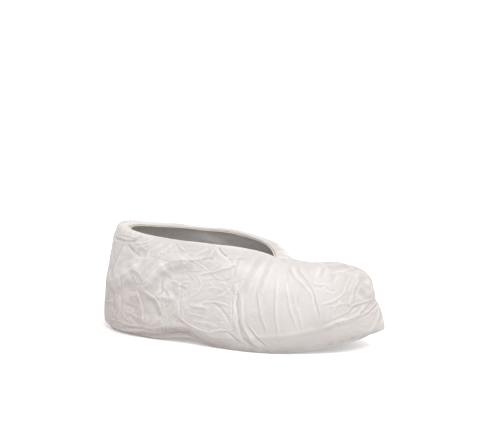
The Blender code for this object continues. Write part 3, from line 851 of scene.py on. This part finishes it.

# %% Painted shade, from 0 where the sheet is left unshaded to 1
# Each pair says where a shade starts and where it is full, in millimetres along x, up z or over the sole.
FOREFOOT_X = (-25, 15)
BAND_PAINTED_SHADE, BAND_TURN = (0.06, 0.22), (0.92, 1.04)       # at heel and forefoot, and shares of the turn's lift
EDGE_PAINTED_SHADE, EDGE_LIFT = (0.40, 0.08), (6, 0)             # at heel and forefoot
SIDE_PAINTED_SHADE, SIDE_X, SIDE_LIFT = 0.42, (-10, 20), (56, 30)
TOE_LOSS, TOE_LOSS_X = 0.35, (70, 130)                  # how much of all these is missing towards the toe
HEEL_PAINTED_SHADE, HEEL_X, HEEL_Z = 0.85, (-55, -125), (84, 39)
ARCH_X, ARCH_TURN = (20, -30), (1.35, 0.55)             # where the sheet turns in under the arch
WAIST_PAINTED_SHADE, WAIST_X, WAIST_END, WAIST_LIFT = 0.3, (-120, -90), (15, -15), (46, 10)
TOE_PAINTED_SHADE, TOE_X, TOE_Z = 0.6, (80, 145), (30, 56)

forward = smooth_step(wall_x, *FOREFOOT_X)
painted_shade = np.interp(forward, (0, 1), BAND_PAINTED_SHADE) * (1 - smooth_step(lift / welt_lift, *BAND_TURN))
painted_shade += np.interp(forward, (0, 1), EDGE_PAINTED_SHADE) * smooth_step(lift, *EDGE_LIFT)
painted_shade += (1 - painted_shade) * SIDE_PAINTED_SHADE * smooth_step(wall_x, *SIDE_X) * smooth_step(lift, *SIDE_LIFT)
painted_shade *= 1 - TOE_LOSS * smooth_step(wall_x, *TOE_LOSS_X)
painted_shade = np.maximum(painted_shade, HEEL_PAINTED_SHADE * smooth_step(wall_x, *HEEL_X) * smooth_step(wall_z, *HEEL_Z))
painted_shade = np.maximum(painted_shade, smooth_step(wall_x, *ARCH_X) * smooth_step(lift / welt_lift, *ARCH_TURN))
waist = smooth_step(wall_x, *WAIST_X) * smooth_step(wall_x, *WAIST_END) * smooth_step(lift, *WAIST_LIFT)
painted_shade += (1 - painted_shade) * WAIST_PAINTED_SHADE * waist
painted_shade = np.maximum(painted_shade, TOE_PAINTED_SHADE * smooth_step(wall_x, *TOE_X) * smooth_step(wall_z, *TOE_Z))
print("mean soil:", round(float(painted_shade.mean()), 2))

# %% Marks put onto the mesh
# These marks carry painted highlight on crests and the rim, and painted shade in the creases and at the
# greyer places, to the material.
marks = {"crest": crest, "painted_shade": painted_shade, "line_distance": line_distance, "line_strength": line_strength}
for name, outer_values in marks.items():
    values = np.concatenate([outer_values.ravel(), np.zeros(inner[..., 0].size)])
    upper.data.attributes.new(name, "FLOAT", "POINT").data.foreach_set("value", values.astype(np.float32))
print("attributes of the upper:", list(marks))

# %% [markdown]
# ## The sole
# The sole is a panel of the stouter sheet, sewn in along the wall's lower edge. It is flat across and
# follows the heel, the arch and the toe spring along the foot. A grid of rungs spans it, each from a
# lateral point of the seam to the medial point opposite. Its two ends stay short straight edges, so the
# grid has no pole.

# %% Panel underfoot
SOLE_GAP, SOLE_THICKNESS = 0.3, 1.0
RUNGS, RUNG_POINTS, END_ANGLE = 190, 60, 0.03


def sole_panel():
    """Points and faces of a closed slab: a grid on the sole line, and another a thickness above it."""
    rung_angle = np.clip(np.append(even_angles(RUNGS - 1), np.pi), END_ANGLE, np.pi - END_ANGLE)
    lateral = wall_surface(rung_angle, share[:1], with_fin=False)[0]
    medial = wall_surface(2 * np.pi - rung_angle, share[:1], with_fin=False)[0]
    across = medial - lateral
    inset = (WALL_THICKNESS + SOLE_GAP) / np.linalg.norm(across, axis=-1, keepdims=True)
    place = np.linspace(0, 1, RUNG_POINTS)[None, :, None]
    lower = (lateral + inset * across)[:, None] + place * ((1 - 2 * inset) * across)[:, None]
    lower[..., 2] = sole_line(lower[..., 0]) + FLOOR_CLEARANCE
    higher = lower + (0, 0, SOLE_THICKNESS)
    count = RUNGS * RUNG_POINTS
    index = np.arange(count).reshape(RUNGS, RUNG_POINTS)
    down = np.stack([index[:-1, :-1], index[:-1, 1:], index[1:, 1:], index[1:, :-1]], axis=-1).reshape(-1, 4)
    edge = np.concatenate([index[0], index[1:, -1], index[-1, -2::-1], index[-2:0:-1, 0]])
    beside = np.roll(edge, -1)
    rim = np.stack([beside, edge, edge + count, beside + count], axis=-1)
    return np.concatenate([lower.reshape(-1, 3), higher.reshape(-1, 3)]), [down, down[:, ::-1] + count, rim]


sole = add_mesh("overshoe_sole", *sole_panel())
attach(sole, "root")
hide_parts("sole")

# %% [markdown]
# ## The elastic in the collar
# A flat knitted elastic lies under the turned edge of the collar. It is the same wall, read again between
# two shares and moved inwards, so it keeps clear of the sheet all the way round. Five ribs run along it.
# Its free edge stands proud of the sheet as a lip, a little raised, and slightly wavy where the stitches
# draw it.

# %% Elastic band
ELASTIC_FROM = 1 - 2 / 24      # it lines the wall from this share up to the edge
ELASTIC_GAP, ELASTIC_THICKNESS = 0.3, 1.0
LIP_LENGTH, LIP_LIFT = 1.7, 0.9        # how far the free edge stands proud, and how far it is raised
LIP_WAVES, LIP_WAVE = 120, 0.25        # how many waves, and their size as a share of that length
LIP_TURNS, LIP_DRIFT = (6, 9), 0.7
ELASTIC_ROWS, RIBS, RIB_HEIGHT = 26, 5, 0.12


def elastic_loop():
    """Rows of the band's two faces, up and down again: the lining's relief, with ribs as a squared sine."""
    places = np.linspace(ELASTIC_FROM, 1, ELASTIC_ROWS)
    band = wall_surface(angle, places, with_fin=False)
    row = np.interp(places, share, np.arange(ROWS))
    below = np.floor(row).astype(int).clip(0, ROWS - 2)
    part = (row - below)[:, None]
    depth = lining_relief[below] * (1 - part) + lining_relief[below + 1] * part
    normal = outward(band)
    onward = band[-1] - band[-2]
    onward /= np.linalg.norm(onward, axis=-1, keepdims=True)
    lip = LIP_LENGTH * (1 + LIP_WAVE * np.sin(LIP_WAVES * turn + wander(LIP_TURNS, LIP_DRIFT)))
    band = np.concatenate([band, band[-1:] + lip[:, None] * onward])
    normal = np.concatenate([normal, normal[-1:]])
    depth = np.concatenate([depth, depth[-1:] + LIP_LIFT])
    ribs = RIB_HEIGHT * np.sin(np.pi * RIBS * np.linspace(0, 1, len(band)))[:, None] ** 2
    near = band + (depth - ELASTIC_GAP - RIB_HEIGHT + ribs)[..., None] * normal
    far = band + (depth - ELASTIC_GAP - ELASTIC_THICKNESS - ribs)[..., None] * normal
    return np.concatenate([near, far[::-1]])


def loop_faces(rows, columns):
    """Quads of a grid that closes on itself both ways."""
    return [band_faces(rows + 1, columns) % (rows * columns)]


elastic_points = elastic_loop()
elastic = add_mesh("collar_elastic_band", elastic_points, loop_faces(len(elastic_points), COLUMNS))
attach(elastic, "root")
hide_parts("collar_elastic")

# %% [markdown]
# ## Stitches
# One zigzag row sews the elastic to the turned edge, and an overlock row closes the seam underfoot. A
# thread is a small six-sided profile carried along a path. The paths swing between two heights of the
# wall, which keeps each stitch on the sheet. Curve objects with a bevel would do as well, but here the
# wall's normals turn the profile.

# %% A thread, and places on the sheet
THREAD_RADIUS, THREAD_SIDES = 0.28, 6
sheet_normal = outward(sheet)


def thread_tube(path, normal):
    """A closed tube: path + radius * (cos(a) normal + sin(a) side), with the side square to both."""
    onward = np.roll(path, -1, axis=0) - np.roll(path, 1, axis=0)
    side = np.cross(onward, normal)
    side /= np.linalg.norm(side, axis=-1, keepdims=True)
    a = np.linspace(0, 2 * np.pi, THREAD_SIDES, endpoint=False)[:, None, None]
    rings = path + THREAD_RADIUS * (np.cos(a) * normal + np.sin(a) * side)
    return rings, loop_faces(THREAD_SIDES, len(path))


def on_sheet(grid, columns, rows):
    """Values of a grid of the sheet at fractional columns and rows, blended from the four places round."""
    column, row = np.floor(columns).astype(int), np.floor(rows).astype(int).clip(0, ROWS - 2)
    across, upward = (columns - column)[:, None], (rows - row)[:, None]
    left, right = column % COLUMNS, (column + 1) % COLUMNS
    low = grid[row, left] * (1 - across) + grid[row, right] * across
    high = grid[row + 1, left] * (1 - across) + grid[row + 1, right] * across
    return low * (1 - upward) + high * upward


# %% Rows of stitches
COLLAR_ROW = (150, 0.945, 0.975)     # swings, and the lowest and the highest share of the wall
SEAM_ROW = (210, 0.012, 0.05)
POINTS_PER_SWING = 8
THREAD_RAISED = 0.4                  # share of its radius that a thread's middle lies above the sheet


def zigzag(swings, low_share, high_share):
    """A thread that swings between two heights as it goes round: an eased triangle wave of the place."""
    place = np.arange(swings * POINTS_PER_SWING) / POINTS_PER_SWING
    swing = ease(np.abs(2 * (place % 1) - 1))
    rows = np.interp(low_share + (high_share - low_share) * swing, share, np.arange(ROWS))
    columns = place / swings * COLUMNS
    normal = on_sheet(sheet_normal, columns, rows)
    normal /= np.linalg.norm(normal, axis=-1, keepdims=True)
    path = on_sheet(sheet, columns, rows) + THREAD_RAISED * THREAD_RADIUS * normal
    path[:, 2] = np.maximum(path[:, 2], THREAD_RADIUS + FLOOR_CLEARANCE)
    return thread_tube(path, normal)


collar_stitches = add_mesh("collar_stitches", *zigzag(*COLLAR_ROW))
seam_stitches = add_mesh("seam_stitches", *zigzag(*SEAM_ROW))
for stitches in (collar_stitches, seam_stitches):
    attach(stitches, "root")

# %% [markdown]
# ## Finishes
# The sheet is spun, not woven: long filaments lie in swirls and are pressed together. Close up it has a
# faint cloud, streaks of filament and a fine tooth. The sole has the same structure, so the swirls are a
# node group with a scale of its own in each material. Everything reads Object coordinates, in metres, so
# a scale of 200 makes 5 mm features. Nodes could be placed by hand in the editor, but a few helpers that
# add and link them keep each finish short.


# %% Nodes and values
def plug(tree, made, sockets):
    """Gives each named socket of a node a constant, or a link from another node's output."""
    for name, value in sockets.items():
        if isinstance(value, bpy.types.NodeSocket):
            tree.links.new(value, made.inputs[name])
        else:
            made.inputs[name].default_value = value


def node(tree, kind, sockets, **settings):
    """Adds a shader node with its settings, and plugs its sockets."""
    made = tree.nodes.new("ShaderNode" + kind)
    for name, value in settings.items():
        setattr(made, name, value)
    plug(tree, made, sockets)
    return made


def object_place(tree):
    """The place on the piece, in metres."""
    return node(tree, "TexCoord", {}).outputs["Object"]


def mark(tree, name):
    """A mark that was put onto the mesh as an attribute."""
    return node(tree, "Attribute", {}, attribute_name=name).outputs["Fac"]


def noise(tree, place, scale, detail):
    """A smooth noise whose features are about 1 / scale metres wide, with some octaves of finer detail."""
    return node(tree, "TexNoise", {"Vector": place, "Scale": scale, "Detail": detail})


def arithmetic(tree, operation, *values):
    """A sum, a product or the like of its values."""
    return node(tree, "Math", dict(enumerate(values)), operation=operation).outputs[0]


def spread(tree, value, start, end, at_start, at_end):
    """Goes in a straight line from one number to another as the value goes from start to end."""
    sockets = {"Value": value, "From Min": start, "From Max": end, "To Min": at_start, "To Max": at_end}
    return node(tree, "MapRange", sockets).outputs[0]


# %% Colours, bumps and finishes
def ramp(tree, value, *stops):
    """A colour that goes through stops, each a place and a colour, as the value rises from 0 to 1."""
    made = node(tree, "ValToRGB", {"Fac": value})
    elements = made.color_ramp.elements
    for element, (place, colour) in zip(elements, stops):
        element.position, element.color = place, (*colour, 1)
    for place, colour in stops[2:]:
        elements.new(place).color = (*colour, 1)
    return made.outputs["Color"]


def mixed(tree, blend, amount, first, second):
    """Two colours blended in one of Blender's ways, with some amount of the second."""
    sockets = {0: amount, 6: first, 7: second}
    return node(tree, "Mix", sockets, data_type="RGBA", blend_type=blend).outputs[2]


def bump(tree, height, strength, depth, **over):
    """The normal of a surface whose height moves it by up to a depth, in metres. Normal: an earlier bump."""
    return node(tree, "Bump", {"Height": height, "Strength": strength, "Distance": depth, **over}).outputs[0]


def finish(name):
    """A new material, its tree and its Principled shader."""
    material = bpy.data.materials.new(name)
    material.use_nodes = True
    return material, material.node_tree, material.node_tree.nodes["Principled BSDF"]


# %% Swirled filaments, as a group
FILAMENT_LAYERS = (((0.3, 0.2, 0.5), (0.25, 1, 1)), ((0.9, -0.4, -0.6), (1, 0.3, 1)))   # turn and stretch


def filament_group():
    """Fibres: two ridged noises, stretched in different directions. Cloud: a soft noise some 15 mm wide."""
    group = bpy.data.node_groups.new("swirled_filaments", "ShaderNodeTree")
    group.interface.new_socket("Fibre Scale", in_out="INPUT", socket_type="NodeSocketFloat")
    group.interface.new_socket("Fibres", in_out="OUTPUT", socket_type="NodeSocketFloat")
    group.interface.new_socket("Cloud", in_out="OUTPUT", socket_type="NodeSocketFloat")
    given, result = group.nodes.new("NodeGroupInput"), group.nodes.new("NodeGroupOutput")
    place = object_place(group)
    layers = []
    for turned, stretch in FILAMENT_LAYERS:
        laid = node(group, "Mapping", {"Vector": place, "Rotation": turned, "Scale": stretch}).outputs[0]
        ridges = {"Vector": laid, "Scale": given.outputs["Fibre Scale"], "Detail": 3.0, "Distortion": 0.6}
        layers.append(node(group, "TexNoise", ridges, noise_type="RIDGED_MULTIFRACTAL").outputs["Fac"])
    cloud = node(group, "TexNoise", {"Vector": place, "Scale": 70.0, "Detail": 4.0, "Roughness": 0.6})
    plug(group, result, {"Fibres": arithmetic(group, "ADD", *layers), "Cloud": cloud.outputs["Fac"]})
    return group


filaments = filament_group()
print("node group:", filaments.name, [socket.name for socket in filaments.interface.items_tree])

# %% [markdown]
# The white sheet takes a colour between a greyer crease and a whiter crest, tinted by the cloud and by the
# painted shade, and a roughness that the cloud varies. The greyer crease is painted shade, and the whiter
# crest is parted fibres with a painted highlight. Three bumps lie over each other: the lines of the ridges,
# fine wrinkles that are too small for the mesh, and the filaments. The wrinkles are the edges of warped
# cells, so that they are lines, as in paper, and not lumps.

# %% White sheet
# The crease colour is painted shade, the crest colour is parted fibres with painted highlight, and the
# greyer, warmer tint is painted shade.
CREASE_PAINTED_SHADE, SHEET_WHITE, CREST_WHITE_AND_HIGHLIGHT = (0.69, 0.672, 0.655), (0.75, 0.742, 0.726), (0.825, 0.822, 0.81)
CLOUD_TINT, PAINTED_SHADE_TINT, UNTINTED = (0.955, 0.95, 0.945), (0.86, 0.825, 0.82), (1, 1, 1)
SHEET_FIBRES = 330.0
LINE_HALF_WIDTH = 0.9                        # millimetres, as the noted distances are
WARP_SIZE, WARP_SCALE = 0.012, 60.0          # metres, and the noise that bends the cells
CELL_SCALE, WRINKLE_WIDTH = 120.0, 0.12      # the width is a share of a cell


def white_sheet():
    """Colour: a ramp of crest + line, which carry painted highlight and painted shade, times two tints, the
    cloud and the painted shade. Bumps: the line, the wrinkle, then the fibres.
    """
    material, tree, shader = finish("white_nonwoven_sheet")
    swirl = node(tree, "Group", {"Fibre Scale": SHEET_FIBRES}, node_tree=filaments)
    apart = arithmetic(tree, "ABSOLUTE", mark(tree, "line_distance"))
    edge = spread(tree, apart, 0.0, LINE_HALF_WIDTH, 1.0, 0.0)
    line = arithmetic(tree, "MULTIPLY", edge, mark(tree, "line_strength"))
    # Crests and ridge lines whiten the colour (parted fibres and painted highlight); creases and trough
    # lines grey it (painted shade).
    height = spread(tree, arithmetic(tree, "ADD", mark(tree, "crest"), line), -1.0, 1.0, 0.0, 1.0)
    base = ramp(tree, height, (0.0, CREASE_PAINTED_SHADE), (1.0, CREST_WHITE_AND_HIGHLIGHT), (0.5, SHEET_WHITE))
    cloud = ramp(tree, swirl.outputs["Cloud"], (0.3, CLOUD_TINT), (0.7, UNTINTED))
    # painted shade: a greyer, warmer tint where the sheet would lie in shade
    painted_grey = ramp(tree, mark(tree, "painted_shade"), (0.0, UNTINTED), (1.0, PAINTED_SHADE_TINT))
    clouded = mixed(tree, "MULTIPLY", 1.0, base, cloud)
    place = object_place(tree)
    warped = mixed(tree, "ADD", WARP_SIZE, place, noise(tree, place, WARP_SCALE, 2.0).outputs["Color"])
    cells = node(tree, "TexVoronoi", {"Vector": warped, "Scale": CELL_SCALE}, feature="DISTANCE_TO_EDGE")
    wrinkle = spread(tree, cells.outputs["Distance"], 0.0, WRINKLE_WIDTH, 1.0, 0.0)
    sharp = bump(tree, line, 1.0, 0.00035)
    wrinkled = bump(tree, wrinkle, 0.28, 0.0004, Normal=sharp)
    plug(tree, shader, {
        "Base Color": mixed(tree, "MULTIPLY", 1.0, clouded, painted_grey),
        "Roughness": spread(tree, swirl.outputs["Cloud"], 0.0, 1.0, 0.55, 0.75),
        "Normal": bump(tree, swirl.outputs["Fibres"], 0.28, 0.0002, Normal=wrinkled),
        "Sheen Weight": 0.15,
        "Sheen Roughness": 0.5,
        "Specular IOR Level": 0.35,
    })
    return material


upper.data.materials.append(white_sheet())
print("finish of the upper:", upper.data.materials[0].name)

# %% [markdown]
# The sole is the same stuff in a stouter weight, pressed with small lozenges that keep it from slipping.
# Two crossed waves make the lozenges, which show in the relief and, where they are pressed thin, in the
# colour. The elastic is cream cotton over rubber, knitted, so it has a fine grain of loops, and the
# thread is plain white cotton with a twist.

# %% Pressed sole
SOLE_COLOURS = (0.3, (0.69, 0.66, 0.64)), (0.75, (0.77, 0.74, 0.72))     # stops of a ramp
SOLE_FIBRES = 220.0
LOZENGE_TURN, LOZENGE_SCALE, LOZENGE_TINT = 0.6, 80.0, (0.90, 0.895, 0.89)


def pressed_sole():
    """Lozenges: the product of two waves, turned to either side. Colour: a ramp of the cloud, tinted."""
    material, tree, shader = finish("sole_nonwoven_sheet")
    swirl = node(tree, "Group", {"Fibre Scale": SOLE_FIBRES}, node_tree=filaments)
    place = object_place(tree)
    waves = []
    for turned in (LOZENGE_TURN, -LOZENGE_TURN):
        laid = node(tree, "Mapping", {"Vector": place, "Rotation": (0, 0, turned)}).outputs[0]
        waves.append(node(tree, "TexWave", {"Vector": laid, "Scale": LOZENGE_SCALE}).outputs["Fac"])
    lozenges = arithmetic(tree, "MULTIPLY", *waves)
    base = ramp(tree, swirl.outputs["Cloud"], *SOLE_COLOURS)
    shade = ramp(tree, lozenges, (0.1, LOZENGE_TINT), (0.6, UNTINTED))
    pressed = bump(tree, lozenges, 0.6, 0.0005)
    plug(tree, shader, {
        "Base Color": mixed(tree, "MULTIPLY", 1.0, base, shade),
        "Normal": bump(tree, swirl.outputs["Fibres"], 0.25, 0.0002, Normal=pressed),
        "Roughness": 0.8,
    })
    return material


sole.data.materials.append(pressed_sole())
print("finish of the sole:", sole.data.materials[0].name)

# %% Knitted elastic
ELASTIC_COLOURS = (0.35, (0.88, 0.82, 0.71)), (0.7, (0.93, 0.89, 0.80))


def knitted_elastic():
    """Colour: a ramp of a broad noise. Bump: a fine noise, about a loop of the knit wide."""
    material, tree, shader = finish("cream_elastic_knit")
    place = object_place(tree)
    loops = noise(tree, place, 900.0, 2.0).outputs["Fac"]
    plug(tree, shader, {
        "Base Color": ramp(tree, noise(tree, place, 60.0, 3.0).outputs["Fac"], *ELASTIC_COLOURS),
        "Normal": bump(tree, loops, 0.5, 0.0003),
        "Roughness": 0.75,
        "Sheen Weight": 0.2,
    })
    return material


elastic.data.materials.append(knitted_elastic())
print("finish of the elastic:", elastic.data.materials[0].name)

# %% Cotton thread
THREAD_COLOURS = (0.3, (0.80, 0.78, 0.75)), (0.7, (0.89, 0.88, 0.86))


def cotton_thread():
    """Colour and bump: one noise, finer than the thread, for its twisted strands."""
    material, tree, shader = finish("white_cotton_thread")
    twist = noise(tree, object_place(tree), 1400.0, 2.0).outputs["Fac"]
    plug(tree, shader, {
        "Base Color": ramp(tree, twist, *THREAD_COLOURS),
        "Normal": bump(tree, twist, 0.4, 0.0002),
        "Roughness": 0.65,
    })
    return material


thread_finish = cotton_thread()
for stitches in (collar_stitches, seam_stitches):
    stitches.data.materials.append(thread_finish)
print("finish of the stitches:", thread_finish.name)

# %% [markdown]
# ## Stage
# The overshoe stands on a pale sweep under soft light, as in a studio. A wide lamp would do for the main
# light, but a sun with a large angle is as soft, and it lights the heel as it does the toe. It stands
# high on the lateral side, towards the toe, and shapes the folds. White surroundings fill the shade with
# a faint warmth.
#
# A real sweep is small, and lights the overshoe from below less than an endless floor would. So the floor
# is seen white, but shines back a greyer light. The Standard view keeps the whites as they are.

# %% Floor, sun and surroundings
FLOOR_HALF = 30.0                      # metres, so that its edge lies beyond the picture
FLOOR_WHITE = (0.97, 0.97, 0.97)       # as it is seen
FLOOR_GLOW = (0.34, 0.35, 0.35)        # light of its own, which keeps its shade pale
FLOOR_SHINE = (0.76, 0.76, 0.76)       # as it lights the overshoe from below
UNLIT = (0, 0, 0)
SUN_STRENGTH, SUN_ANGLE, SUN_COLOUR = 1.52, np.radians(30), (1.0, 1.0, 0.995)
SUN_DIRECTION = (-0.33, 0.43, -0.84)
SURROUNDINGS_STRENGTH, SURROUNDINGS_COLOUR = 0.72, (1.0, 0.935, 0.928, 1)

floor_mesh = bpy.data.meshes.new("floor")
corners = FLOOR_HALF * np.array([(-1, -1, 0), (1, -1, 0), (1, 1, 0), (-1, 1, 0)])
floor_mesh.from_pydata(corners.tolist(), [], [(0, 1, 2, 3)])
floor = bpy.data.objects.new("floor", floor_mesh)
bpy.context.scene.collection.objects.link(floor)
floor_finish, floor_tree, floor_shader = finish("white_sweep")
seen = node(floor_tree, "LightPath", {}).outputs["Is Camera Ray"]
plug(floor_tree, floor_shader, {
    "Base Color": ramp(floor_tree, seen, (0.0, FLOOR_SHINE), (1.0, FLOOR_WHITE)),
    "Emission Color": ramp(floor_tree, seen, (0.0, UNLIT), (1.0, FLOOR_GLOW)),
    "Emission Strength": 1.0,
    "Roughness": 0.9,
    "Specular IOR Level": 0.0,
})
floor_mesh.materials.append(floor_finish)

world = bpy.data.worlds.new("white_surroundings")
world.use_nodes = True
surroundings = {"Color": SURROUNDINGS_COLOUR, "Strength": SURROUNDINGS_STRENGTH}
plug(world.node_tree, world.node_tree.nodes["Background"], surroundings)
bpy.context.scene.world = world

sun = bpy.data.lights.new("key", "SUN")
sun.energy, sun.angle, sun.color = SUN_STRENGTH, SUN_ANGLE, SUN_COLOUR
sun_holder = bpy.data.objects.new("key", sun)
sun_holder.rotation_euler = Vector(SUN_DIRECTION).to_track_quat("-Z", "Y").to_euler()
bpy.context.scene.collection.objects.link(sun_holder)
bpy.context.scene.view_settings.view_transform = "Standard"
print("floor of", 2 * FLOOR_HALF, "m and a sun of", round(float(np.degrees(SUN_ANGLE))), "degrees")

# %% [markdown]
# ## Camera
# The camera stands 1.7 m away on the lateral side, a little towards the toe and above, and is rolled so
# that the toe sinks, as in the picture. It looks past the overshoe to the middle of the frame, so it
# needs no shift.

# %% Camera
AZIMUTH, ELEVATION, ROLL = np.radians([11.0, 14.0, 2.5])
DISTANCE = 1700.0
TARGET = np.array([0.0, 4.0, 58.0])          # this point of the overshoe
TARGET_PIXEL = np.array([244.0, 287.0])      # is seen at this pixel
PICTURE = np.array([480.0, 446.0])
MM_PER_PIXEL = 1.10                          # at the target
SENSOR = 36.0
CLIP_END = 200                               # metres, beyond the floor's edge

level = np.array([np.cos(AZIMUTH), np.sin(AZIMUTH), 0])
back = np.array([np.sin(AZIMUTH), -np.cos(AZIMUTH), np.tan(ELEVATION)]) * np.cos(ELEVATION)
right = level * np.cos(ROLL) + np.cross(back, level) * np.sin(ROLL)
off_right, off_down = (TARGET_PIXEL - PICTURE / 2) * MM_PER_PIXEL
station = TARGET + DISTANCE * back
back = station - (TARGET - off_right * right + off_down * np.cross(back, right))
back /= np.linalg.norm(back)
right -= (right @ back) * back
right /= np.linalg.norm(right)

camera_data = bpy.data.cameras.new("camera")
camera_data.sensor_width = SENSOR
camera_data.lens = SENSOR * DISTANCE / (PICTURE[0] * MM_PER_PIXEL)
camera_data.clip_end = CLIP_END
camera = bpy.data.objects.new("camera", camera_data)
axes = np.eye(4)
axes[:3] = np.stack([right, np.cross(back, right), back, station * MM], axis=1)
camera.matrix_world = Matrix(axes.tolist())
bpy.context.scene.collection.objects.link(camera)
bpy.context.scene.camera = camera
print("lens in mm:", round(camera_data.lens, 1))
